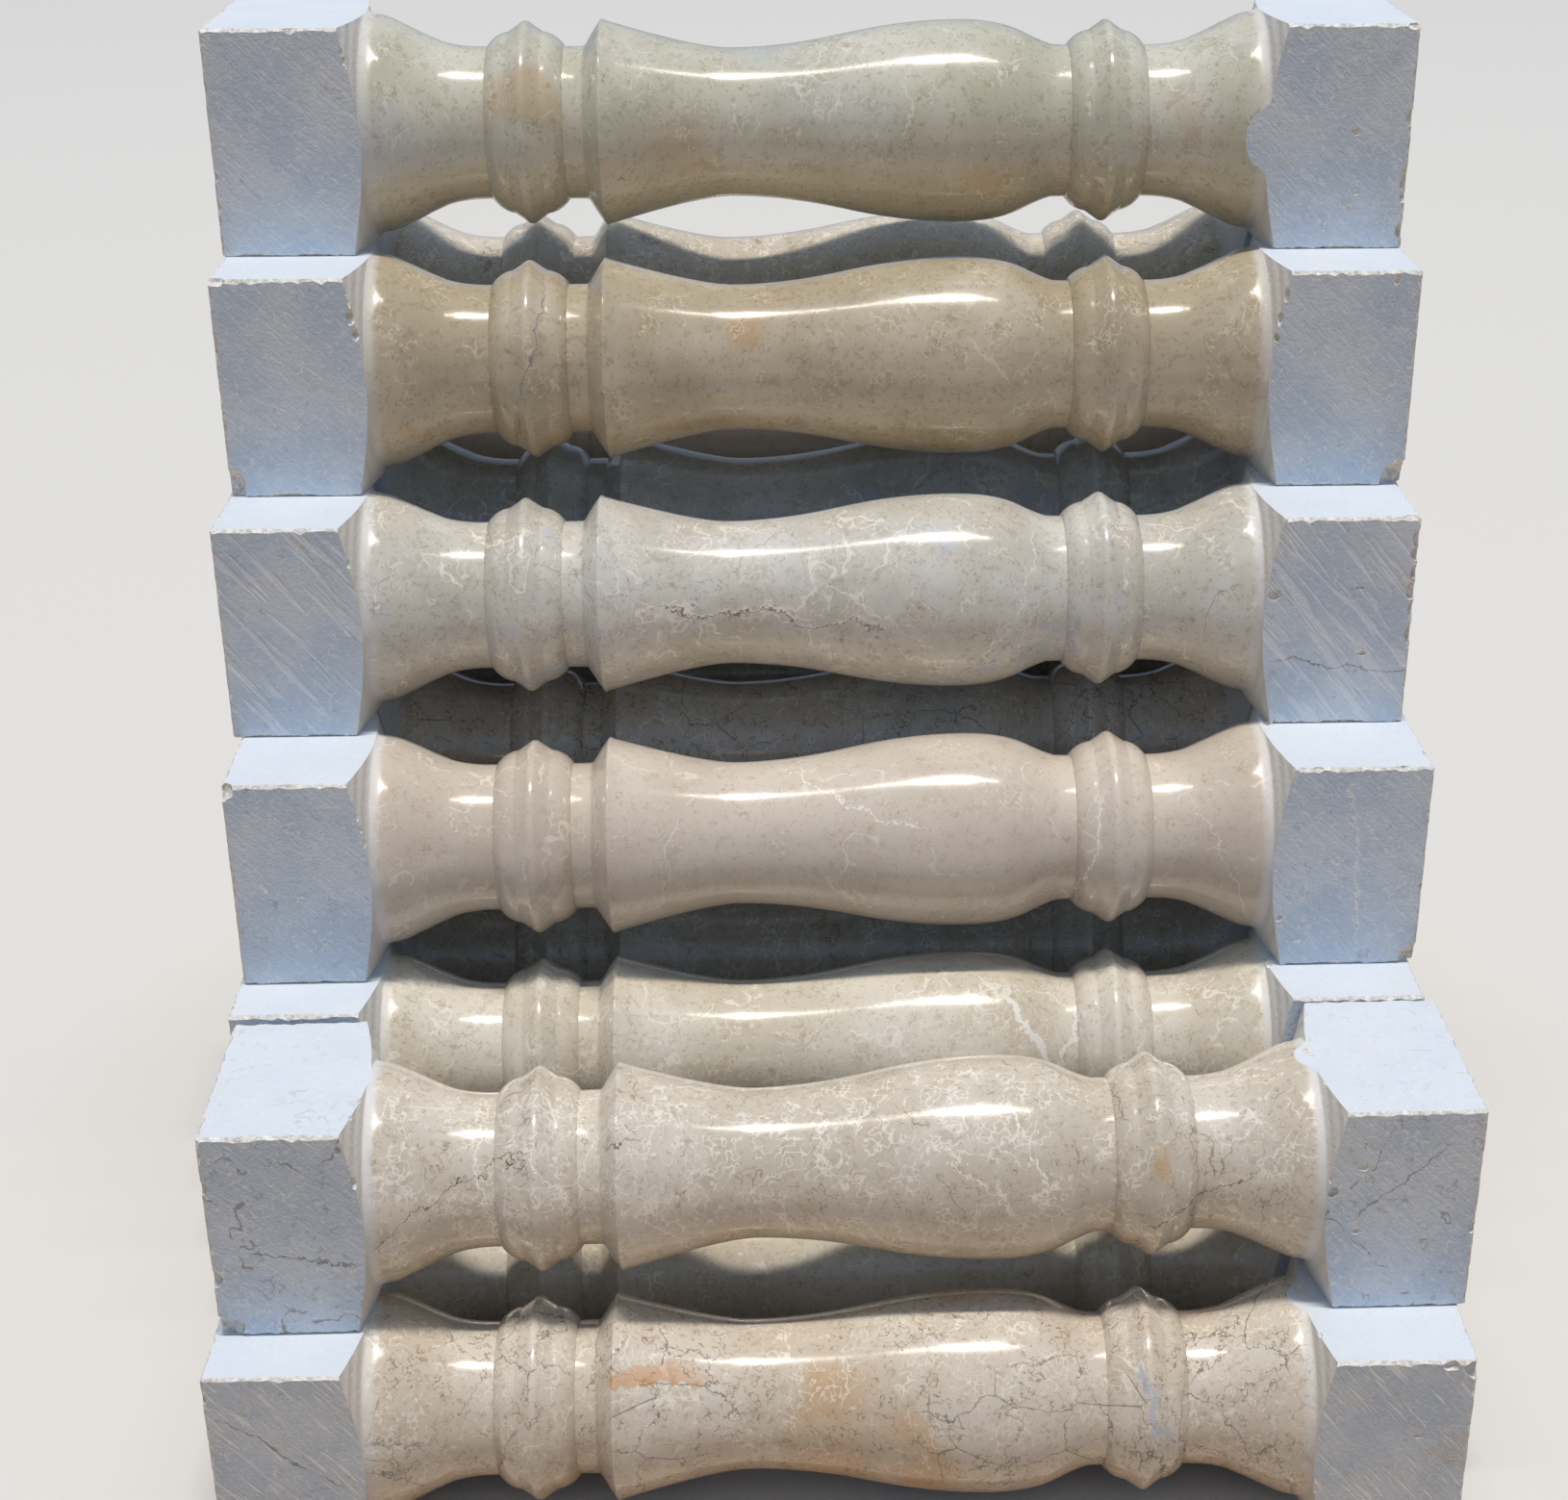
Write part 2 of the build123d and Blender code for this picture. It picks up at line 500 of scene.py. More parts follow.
brokenFinish = {
    "hollow": "C6C1B7", "crest": "F4F4F2", "grainMm": 3.5, "grainRough": 0.75, "levels": (0.36, 0.6),
    "bump": 0.9, "reliefMm": 1.2, "roughness": 0.85, "ior": 1.55,
}


# Fresh breaks at the edges: pale, sugary and rough, darker in the hollows of the grain
def brokenLimestone(name):
    finish = brokenFinish
    material = bpy.data.materials.new(name)
    material.use_nodes = True
    tree = material.node_tree
    shader = tree.nodes["Principled BSDF"]
    place = addNode(tree, "ShaderNodeTexCoord").outputs["Object"]
    grain = addNode(
        tree, "ShaderNodeTexNoise",
        {
            "Vector": place, "Scale": 1000 / finish["grainMm"], "Detail": 4.0,
            "Roughness": finish["grainRough"],
        },
    )
    low, high = finish["levels"]
    spread = addNode(
        tree, "ShaderNodeMapRange", {"Value": grain.outputs["Fac"], "From Min": low, "From Max": high},
    )
    colour = addNode(
        tree, "ShaderNodeMix",
        {0: spread.outputs["Result"], 6: linearColour(finish["hollow"]), 7: linearColour(finish["crest"])},
        data_type="RGBA",
    )
    bump = addNode(
        tree, "ShaderNodeBump",
        {
            "Height": grain.outputs["Fac"], "Strength": finish["bump"],
            "Distance": finish["reliefMm"] * mm,
        },
    )
    tree.links.new(colour.outputs[2], shader.inputs["Base Color"])
    tree.links.new(bump.outputs["Normal"], shader.inputs["Normal"])
    shader.inputs["Roughness"].default_value = finish["roughness"]
    shader.inputs["IOR"].default_value = finish["ior"]
    return material


# What the rows of a look hold, in this order. Levels are those of the noise, and a share of 1 covers.
# blotches: colour, size in mm, detail, from level, full at level, share
# curls: colour, size in mm, detail, level, half width, patch from level, share
# nets: colour, cell in mm, bend in mm, width in mm, patch from level, share
# cracks: colour, place in mm from the baluster's low corner, normal, reach, width and wave in mm, share
# saw: lean in degrees, line spacing in mm, stroke in mm, share
def polishedLook(base, cloud, mottle, fleck, **changes):
    look = {
        "base": base,
        "blotches": [
            (cloud, 85, 3, 0.38, 0.62, 1.0),
            (mottle, 21, 4, 0.50, 0.70, 0.42),
            (fleck, 6.5, 3, 0.55, 0.70, 0.32),
            (fleck, 2.9, 1, 0.62, 0.68, 0.3),
        ],
        "curls": [
            ("F0EADC", 5.6, 1.5, 0.47, 0.028, 0.50, 0.5),
            ("8A7454", 4.8, 1.5, 0.56, 0.020, 0.54, 0.4),
            ("F3EEE4", 60, 4, 0.50, 0.006, 0.44, 0.6),
        ],
        "nets": [], "cracks": [], "home": "course_1_baluster_1", "chalkShare": 0.45,
    }
    look.update(changes)
    look["blotches"] = look["blotches"] + look.pop("patches", [])
    return look


palettes = {
    "greenish": polishedLook(
        "BFBCA9", "D0CEC0", "A69E85", "8D8058", home="course_1_baluster_1",
        patches=[("B9C4CE", 210, 2, 0.58, 0.68, 0.5), ("C39A62", 120, 2, 0.62, 0.72, 0.35)],
        curls=[
            ("E8E6DA", 5.6, 1.5, 0.47, 0.024, 0.52, 0.45), ("85714A", 4.8, 1.5, 0.56, 0.02, 0.55, 0.4),
            ("EFEDE3", 70, 4, 0.50, 0.004, 0.48, 0.4),
        ],
        cracks=[
            ("D8E2F2", (408, 18, 118), (1, 0.2, 0.5), 13, 16, 6, 0.9),
            ("E3E6DC", (408, 0, 84), (1, 0.1, -0.1), 22, 1.2, 14, 0.6),
            ("D9D6C4", (118, 0, 78), (1, 0.1, 0.4), 34, 1.2, 14, 0.6),
        ],
    ),
    "tan": polishedLook(
        "B2A68E", "C6BCA8", "9A8869", "86734E", home="course_2_baluster_1",
        patches=[("BA8A4C", 90, 2, 0.63, 0.72, 0.5)],
        curls=[
            ("E6DDC9", 5.6, 1.5, 0.47, 0.024, 0.52, 0.45), ("806B47", 4.8, 1.5, 0.56, 0.02, 0.55, 0.4),
            ("E9DFC8", 60, 4, 0.50, 0.005, 0.48, 0.35),
        ],
        cracks=[
            ("6F7886", (180, 0, 70), (1, 0, -0.22), 72, 1.1, 13, 0.7),
            ("B9C0CC", (186, 0, 108), (1, 0, -0.22), 20, 6.0, 12, 0.6),
            ("8C6A3C", (325, 0, 72), (1, 0.3, -0.4), 20, 3.0, 12, 0.6),
            ("C98A45", (352, 0, 100), (1, 0, 0.6), 8, 6, 3, 0.7),
            ("DCD0B4", (456, 0, 78), (1, 0.2, 1), 26, 2.0, 12, 0.6),
        ],
    ),
    "pale": polishedLook(
        "C6C2B7", "D6D4CE", "B4AA99", "9C8F6E", home="course_3_baluster_1",
        patches=[("B9C4D4", 55, 2, 0.60, 0.68, 0.5)],
        nets=[("7A6852", 46, 26, 0.4, 0.50, 0.6)],
        cracks=[
            ("F4F0E8", (322, 0, 68), (0.10, 0, 1), 84, 1.6, 24, 0.7),
            ("6E5D4B", (322, 0, 66), (0.10, 0, 1), 84, 0.9, 24, 0.85),
            ("F4F0E8", (475, 0, 75), (1, 0.2, -0.5), 60, 1.1, 15, 0.7),
            ("F4F0E8", (392, 0, 70), (0.6, 0.3, 1), 55, 0.8, 12, 0.6),
        ],
    ),
    "plain": polishedLook(
        "CCC0B2", "D7CDC0", "C2B4A1", "B2A188", home="course_4_baluster_1",
        curls=[
            ("F0EADE", 5.6, 1.5, 0.47, 0.020, 0.54, 0.45), ("A58D6C", 4.8, 1.5, 0.56, 0.018, 0.56, 0.5),
            ("F1EADF", 80, 4, 0.50, 0.005, 0.46, 0.5),
        ],
        chalkShare=0.6,
        cracks=[
            ("F6F1E8", (352, 0, 104), (0.25, 0, 1), 75, 0.9, 14, 0.8),
            ("F6F1E8", (508, 0, 60), (1, 0, -0.15), 60, 1.2, 13, 0.8),
            ("F3EEE6", (640, 0, 70), (1, 0, 0.7), 60, 1.0, 13, 0.7),
            ("F3EEE6", (590, 0, 66), (1, 0, 0.5), 55, 0.8, 13, 0.6),
            ("5E4B36", (316, -2, 88), (0.3, 0, 1), 2.2, 3, 0.5, 0.8),
        ],
    ),
    "creamy": polishedLook(
        "D0C7B5", "DED8CB", "BCAD94", "A59370", home="course_5_baluster_2",
        cracks=[
            ("F4F2EE", (478, 0, 92), (1, 0, 0.75), 62, 4.0, 14, 0.7),
            ("F4F2EE", (505, 0, 100), (1, 0, -0.3), 44, 3.0, 14, 0.7),
            ("9B6B34", (369, -2, 100), (0, 0, 1), 3.2, 5, 0.5, 0.7),
        ],
    ),
    "veined": polishedLook(
        "CCC3B4", "D8D1C5", "B7A990", "A3906C", home="course_5_baluster_1", chalkShare=0.75,
        curls=[
            ("F5F0E6", 5.6, 1.5, 0.47, 0.032, 0.48, 0.6), ("866C46", 4.8, 1.5, 0.56, 0.020, 0.54, 0.5),
            ("F6F1E6", 44, 4, 0.50, 0.006, 0.44, 0.55), ("6A5846", 70, 4, 0.50, 0.003, 0.50, 0.45),
        ],
        nets=[("F5F0E4", 34, 24, 0.6, 0.46, 0.8)],
        cracks=[
            ("6A5846", (128, 0, 78), (-0.5, 0, 1), 78, 0.8, 18, 0.85),
            ("F8F3E8", (152, 0, 88), (1, 0.1, 0.1), 62, 1.1, 14, 0.85),
            ("F8F3E8", (182, 0, 96), (0.9, 0, 0.6), 42, 1.0, 14, 0.8),
            ("6A5846", (222, 0, 104), (-0.25, 0, 1), 36, 0.9, 16, 0.8),
            ("6A5846", (556, 0, 66), (-0.5, 0, 1), 46, 0.8, 12, 0.8),
            ("F8F3E8", (460, 0, 98), (1, 0, 0.45), 58, 1.0, 16, 0.8),
            ("F5EFE0", (424, 0, 86), (0.8, 0, 1), 46, 1.4, 18, 0.7),
            ("C4953F", (536, 0, 98), (1, 0.3, 0), 24, 8, 9, 0.45),
        ],
    ),
    "yellow": polishedLook(
        "CEC2B2", "D8D0C4", "BAA890", "A28D68", home="course_6_baluster_1",
        patches=[("C89A55", 130, 2, 0.62, 0.72, 0.45)],
        curls=[
            ("F0E9DB", 5.6, 1.5, 0.47, 0.028, 0.49, 0.55), ("7F6742", 4.8, 1.5, 0.56, 0.024, 0.51, 0.6),
            ("F3EDE0", 60, 4, 0.50, 0.005, 0.46, 0.55),
        ],
        nets=[("5F5646", 34, 22, 0.6, 0.46, 0.8)],
        cracks=[
            ("CC8B3C", (252, 0, 106), (0.15, 0, 1), 52, 8, 10, 0.5),
            ("C98F4A", (446, 0, 112), (0.15, 0, 1), 16, 8, 8, 0.6),
            ("AEB9CC", (530, 0, 96), (1, 0, 0.25), 40, 5.0, 16, 0.6),
            ("67736A", (122, -4, 84), (1, 0, 0.2), 34, 2.4, 22, 0.55),
            ("67736A", (108, -4, 76), (0.2, 0, 1), 34, 2.0, 22, 0.55),
            ("5F5140", (500, 0, 88), (0.9, 0, 0.5), 34, 0.9, 16, 0.85),
            ("5F5140", (340, 0, 76), (0.9, 0, 0.8), 30, 0.9, 16, 0.85),
            ("D9DAD2", (602, 0, 92), (1, 0, -0.2), 30, 1.4, 16, 0.7),
        ],
    ),
}
polished = {key: polishedLimestone("polished_limestone_" + key, look) for key, look in palettes.items()}


def sawnLook(home="course_1_baluster_1", saw=(45, 3, 20, 0.1), pitted=0.3, threads=(), cracks=()):
    return {
        "base": "C3D2E3",
        "blotches": [
            ("D4DEE9", 55, 3, 0.38, 0.62, 1.0),
            ("BDC8D5", 13, 3, 0.52, 0.70, 0.45),
            ("CDCBC3", 48, 2, 0.62, 0.72, 0.5),
            ("E4EAF1", 3.6, 2, 0.55, 0.68, 0.5),
        ],
        "curls": [
            ("F5F7F9", 6.4, 1.5, 0.53, 0.028, 0.60 - pitted * 0.07, 0.5),
            ("A09F9B", 6.8, 1.5, 0.47, 0.036, 0.64 - pitted * 0.09, 0.3 + pitted * 0.2),
            *threads,
        ],
        "nets": [], "cracks": list(cracks), "home": home, "saw": saw,
    }


sawn = {
    "smooth": sawnLimestone("sawn_limestone_smooth", sawnLook(pitted=0.25)),
    "hairline": sawnLimestone("sawn_limestone_hairline", sawnLook(
        home="course_4_baluster_1", pitted=0.4,
        cracks=[("F0F0EE", (668, 0, 70), (1, 0, 0.1), 60, 1.2, 14, 0.8)],
    )),
    "scored": sawnLimestone("sawn_limestone_scored", sawnLook(
        home="course_3_baluster_1", saw=(50, 7, 70, 0.4), pitted=0.5,
        cracks=[("8F8A80", (672, 0, 36), (0.12, 0, 1), 50, 1.0, 11, 0.8)],
    )),
    "lined": sawnLimestone("sawn_limestone_lined", sawnLook(
        home="course_6_baluster_1", saw=(50, 1.8, 30, 0.9), pitted=0.4,
        cracks=[("8F8A80", (40, 0, 78), (0.8, 0, 1), 46, 1.1, 9, 0.8)],
    )),
    "pitted": sawnLimestone("sawn_limestone_pitted", sawnLook(
        home="course_5_baluster_1", pitted=1.0, threads=[("8B867E", 80, 4, 0.50, 0.004, 0.50, 0.7)],
        cracks=[
            ("8B877F", (52, 0, 50), (0.15, 0, 1), 34, 1.1, 11, 0.8),
            ("8B877F", (664, 0, 84), (-0.9, 0, 1), 40, 1.0, 10, 0.7),
        ],
    )),
}
turnedRough = turnedLimestone("turned_limestone")
broken = brokenLimestone("broken_limestone")
print("stage: materials made")

# every piece carries these four materials, in this order
stoneSlots = [sawn["smooth"], turnedRough, polished["plain"], broken]
slotOf = {"sawn": 0, "turned": 1, "polished": 2, "broken": 3}


# one baluster, axis on X, top end at X = 0, in millimetres; the radii are those of the lathe work

turning = {
    "length": 709, "side": 130, "block": 77.5, "shoulder": 9, "rim": 64.4, "lip": 63.2,
    "neck": 44.4, "waist": 43.4, "belly": 59.2, "ridge": 60.0, "ringCrest": 59.0,
    "topRing": 157, "footRing": 507.2, "ringWidth": 46.4,
    "ridgeAt": 225.7, "waistAt": 302.7, "bellyAt": 440.7,
    "steps": 100, "overRadius": 100, "dowel": 20, "dowelDepth": 60, "dowelSides": 48, "arris": 1.0,
    "rimDull": (1, 9),  # the polish begins this far from the rim and is whole that far from it
    "smoothUnder": 26,  # degrees between faces
}


def bow(start, handle, end, steps):
    # points of a soft curve after its start, drawn towards a handle
    points = []
    for step in range(1, steps + 1):
        t = step / steps
        points.append(tuple(
            (1 - t) ** 2 * a + 2 * t * (1 - t) * b + t * t * c for a, b, c in zip(start, handle, end)
        ))
    return points


def ringProfile(start, size):
    # one half from the neck to the crest, then the same again downwards
    neck, crest = size["neck"], size["ringCrest"]
    rise = [(start, neck), (start + 0.3, neck + 0.9)]  # small step
    rise += bow(rise[-1], (start + 5.4, neck + 7.5), (start + 12.8, neck + 8.5), 9)  # quarter round
    rise += bow(rise[-1], (start + 13.1, neck + 8.6), (start + 13.5, neck + 8.9), 2)  # kink
    rise += bow(rise[-1], (start + 17.2, neck + 11.2), (start + 20.3, crest - 1.1), 4)  # slope
    rise += bow(rise[-1], (start + 21.5, crest), (start + 23.2, crest), 3)  # blunt crest
    fall = [(2 * start + size["ringWidth"] - x, r) for x, r in reversed(rise[:-1])]
    return rise + fall


def bellProfile(size):
    # from the shoulder, which is a steep cone, over the rim to the neck
    rim = size["block"] + size["shoulder"]
    points = [(rim - 11.9, size["overRadius"]), (rim - 4.2, 76.5), (rim - 0.7, size["rim"] + 1.8)]
    points += bow(points[-1], (rim - 0.1, size["rim"]), (rim + 0.8, size["rim"] - 0.2), 3)
    points += [(rim + 4.5, size["lip"])]
    points += bow(points[-1], (rim + 9.2, 62.9), (rim + 14, 60.8), 5)  # rounded lip
    points += [(rim + 22.8, 56.7), (rim + 32, 52.2)]  # straight flank
    points += bow((rim + 40, 48.6), (rim + 50.5, 44.6), (rim + 65.5, size["neck"]), 8)  # hollow
    return points


def outline(size):
    # half outline of the lathe work, which reaches past both ends so that it leaves them to the blank
    length, neck, ridge = size["length"], size["neck"], size["ridge"]
    waist, belly = size["waist"], size["belly"]
    ridgeAt, waistAt, bellyAt = size["ridgeAt"], size["waistAt"], size["bellyAt"]
    top = bellProfile(size)
    foot = [(length - x, r) for x, r in reversed(top)]
    past = 5
    points = [(-past, 0), (-past, size["overRadius"])] + top
    points += ringProfile(size["topRing"], size)
    points += bow((ridgeAt - 12.6, neck), (ridgeAt - 10.4, neck), (ridgeAt - 9.2, neck + 2.2), 4)  # flare
    points += [(ridgeAt - 5, neck + 8.9), (ridgeAt - 1.0, ridge - 1.1)]
    points += bow(points[-1], (ridgeAt + 0.1, ridge + 0.9), (ridgeAt + 1.8, ridge - 0.6), 4)  # ridge
    points += bow(points[-1], (ridgeAt + 57, waist), (waistAt, waist), 12)  # down to the waist
    halfway = (waistAt + bellyAt) / 2
    points += bow(points[-1], (halfway - 37, waist), (halfway, (waist + belly) / 2), 9)
    points += bow(points[-1], (halfway + 37, belly), (bellyAt, belly), 9)  # up to the belly
    points += bow(points[-1], (bellyAt + 24, belly), (bellyAt + 39, 52.4), 8)
    points += bow(points[-1], (bellyAt + 50, 46.9), (bellyAt + 57.5, neck + 0.3), 5)  # down to the neck
    points += ringProfile(size["footRing"], size)
    points += foot + [(length + past, size["overRadius"]), (length + past, 0)]
    return points


def makeTurned(size):
    bpy.ops.mesh.primitive_plane_add(size=0.001)
    turned = bpy.context.object
    turned.name = "turned"
    points = outline(size)
    bpy.ops.object.mode_set(mode="EDIT")
    bpy.ops.mesh.merge(type="CENTER")
    bpy.ops.transform.translate(value=(points[0][0] * mm, 0, points[0][1] * mm))
    for (fromX, fromR), (toX, toR) in zip(points, points[1:]):
        bpy.ops.mesh.extrude_region_move(
            TRANSFORM_OT_translate={"value": ((toX - fromX) * mm, 0, (toR - fromR) * mm)}
        )
    bpy.ops.mesh.select_all(action="SELECT")
    bpy.ops.mesh.spin(steps=size["steps"], angle=math.tau, center=(0, 0, 0), axis=(1, 0, 0))
    bpy.ops.mesh.select_all(action="SELECT")
    bpy.ops.mesh.remove_doubles(threshold=0.00002)
    bpy.ops.mesh.normals_make_consistent(inside=False)
    bpy.ops.object.mode_set(mode="OBJECT")
    rimTop = (size["block"] + size["shoulder"] + 0.1) * mm
    rimFoot = size["length"] * mm - rimTop
    for face in turned.data.polygons:
        inRim = face.center.x < rimTop or face.center.x > rimFoot
        face.material_index = slotOf["turned"] if inRim else slotOf["polished"]
    return turned


def makeBlank(size):
    length, width = size["length"] * mm, size["side"] * mm
    bpy.ops.mesh.primitive_cube_add(size=1, location=(length / 2, 0, 0))
    blank = bpy.context.object
    blank.name = "blank"
    bpy.ops.object.mode_set(mode="EDIT")
    bpy.ops.transform.resize(value=(length, width, width))
    bpy.ops.mesh.bevel(offset=size["arris"] * mm, segments=2, affect="EDGES")
    bpy.ops.object.mode_set(mode="OBJECT")
    bpy.ops.object.transform_apply(location=True, rotation=False, scale=False)
    return blank


def makeDowel(size, atFoot):
    # the plug that a dowel hole is cut with, which stands 10 mm out of the end face
    past = 10 * mm
    depth = size["dowelDepth"] * mm
    middle = size["length"] * mm - (depth - past) / 2 if atFoot else (depth - past) / 2
    bpy.ops.mesh.primitive_cylinder_add(
        vertices=size["dowelSides"], radius=size["dowel"] * mm, depth=depth + past,
        location=(middle, 0, 0), rotation=(0, math.pi / 2, 0),
    )
    dowel = bpy.context.object
    bpy.ops.object.transform_apply(location=True, rotation=True, scale=True)
    for face in dowel.data.polygons:
        face.material_index = slotOf["turned"]
    return dowel


def dressSlots(piece, materials):
    piece.data.materials.clear()
    for material in materials:
        piece.data.materials.append(material)


turned = makeTurned(turning)
blank = makeBlank(turning)
dowels = [makeDowel(turning, False), makeDowel(turning, True)]
for piece in [turned, blank, *dowels]:
    indices = [face.material_index for face in piece.data.polygons]
    dressSlots(piece, stoneSlots)
    piece.data.polygons.foreach_set("material_index", indices)
for dowel in dowels:
    cutWith(blank, dowel, "DIFFERENCE")
    dropObject(dowel)
print("stage: turned shape and blank made", len(turned.data.polygons), len(blank.data.polygons))


# worn edges and chips, made for one block end whose end face is at X = 0

wear = {
    "kinds": 5, "raspStep": 4.4, "raspDepth": 1.3, "endShare": 0.8, "raspJitter": 1.15, "raspBar": 8.0,
    "bites": 16, "biteSize": (2.0, 4.2), "biteLength": (1.2, 3.0), "biteJitter": 0.22,
}


def selectEdges(piece, chosen):
    bpy.ops.mesh.select_mode(type="EDGE")
    bpy.ops.mesh.select_all(action="DESELECT")
    mesh = bmesh.from_edit_mesh(piece.data)
    for edge in mesh.edges:
        if chosen(edge.verts[0].co, edge.verts[1].co):
            edge.select = True
    mesh.select_flush_mode()
    bmesh.update_edit_mesh(piece.data)


def makeRasp(length, depth, jitter, seed):
    # a bar along X whose flat side takes off an edge that lies on the X axis, outside towards +Z
    bar = wear["raspBar"]
    bpy.ops.mesh.primitive_cube_add(size=1)
    rasp = bpy.context.object
    bpy.ops.object.mode_set(mode="EDIT")
    bpy.ops.transform.resize(value=((length + 4) * mm, bar * 1.6 * mm, bar * mm))
    bpy.ops.transform.translate(value=(0, 0, (bar / 2 - depth) * mm))
    selectEdges(rasp, lambda start, end: abs(start.x - end.x) > 0.001)
    bpy.ops.mesh.subdivide(number_cuts=max(4, int(length / wear["raspStep"])))
    selectEdges(rasp, lambda start, end: abs(start.y - end.y) > 0.001 and start.z < 0 and end.z < 0)
    bpy.ops.mesh.subdivide(number_cuts=2)
    selectEdges(rasp, lambda start, end: start.z < 0 and end.z < 0)
    bpy.ops.transform.vertex_random(offset=jitter * mm, uniform=0.3, normal=0.0, seed=seed)
    bpy.ops.object.mode_set(mode="OBJECT")
    return rasp


def makeBite(seed):
    bpy.ops.mesh.primitive_ico_sphere_add(subdivisions=2, radius=mm)
    bite = bpy.context.object
    bpy.ops.object.mode_set(mode="EDIT")
    bpy.ops.transform.vertex_random(offset=wear["biteJitter"] * mm, uniform=0.4, normal=0.0, seed=seed)
    bpy.ops.object.mode_set(mode="OBJECT")
    return bite


def cutAway(piece, tool, matrix):
    # what the tool leaves is broken stone
    placeMesh(tool, matrix)
    dressSlots(tool, stoneSlots)
    tool.data.polygons.foreach_set("material_index", [slotOf["broken"]] * len(tool.data.polygons))
    cutWith(piece, tool, "DIFFERENCE")
    dropObject(tool)


def wearEnd(piece, seed, size, flip):
    # rasps all edges of one block and breaks small bites out of them; flip takes it to the foot end
    chance = random.Random(seed)
    half = size["side"] / 2
    block = size["block"]
    endDepth = wear["raspDepth"] * wear["endShare"]
    lie = Matrix.Rotation(math.radians(90), 4, "Z")
    outward = Matrix.Rotation(math.radians(-45), 4, "X")
    tip = Matrix.Rotation(math.radians(-45), 4, "Y")
    for quarter in range(4):
        turn = flip @ Matrix.Rotation(quarter * math.pi / 2, 4, "X")
        rasp = makeRasp(block, wear["raspDepth"], wear["raspJitter"], seed * 10 + quarter)
        cutAway(piece, rasp, turn @ Matrix.Translation(Vector((block / 2, half, half)) * mm) @ outward)
        rasp = makeRasp(size["side"], endDepth, wear["raspJitter"], seed * 10 + 4 + quarter)
        cutAway(piece, rasp, turn @ Matrix.Translation(Vector((0, 0, half)) * mm) @ tip @ lie)
    for number in range(wear["bites"]):
        turn = flip @ Matrix.Rotation(chance.randrange(4) * math.pi / 2, 4, "X")
        radius = chance.uniform(*wear["biteSize"])
        stretch = chance.uniform(*wear["biteLength"])
        if number % 4 == 0:  # on the end face's edge
            spot = (-radius * 0.45, chance.uniform(-0.9, 0.9) * half, half + radius * 0.45)
            shape = Matrix.Diagonal((radius, radius * stretch, radius, 1))
        elif number % 4 == 1:  # along a long edge
            spot = (chance.uniform(4, block - 6), half + radius * 0.5, half + radius * 0.5)
            shape = Matrix.Diagonal((radius * stretch, radius, radius, 1))
        else:  # on the shoulder's edge, which bulges a little in the middle of the face
            across = chance.uniform(-0.95, 0.95)
            bulge = size["shoulder"] * (1 - across * across)
            spot = (block + bulge + radius * 0.5, across * half, half + radius * 0.35)
            shape = Matrix.Diagonal((radius, radius * stretch * 0.7, radius * 0.9, 1))
        swing = Matrix.Rotation(chance.uniform(-0.5, 0.5), 4, "Z")
        spin = Matrix.Rotation(chance.uniform(0, 6), 4, "X")
        bite = makeBite(seed * 100 + number)
        cutAway(piece, bite, turn @ Matrix.Translation(Vector(spot) * mm) @ shape @ swing @ spin)


def makeWornBlank(kind, size):
    worn = copyOf(blank, f"worn_blank_{kind}")
    wearEnd(worn, 2 * kind + 1, size, Matrix.Identity(4))
    farEnd = Matrix.Translation((size["length"] * mm, 0, 0)) @ Matrix.Rotation(math.pi, 4, "Z")
    wearEnd(worn, 2 * kind + 2, size, farEnd)
    return worn


wornBlanks = [makeWornBlank(kind, turning) for kind in range(wear["kinds"])]
print("stage: blanks worn", [len(worn.data.polygons) for worn in wornBlanks])


# the stack, course by course, the front baluster of each first

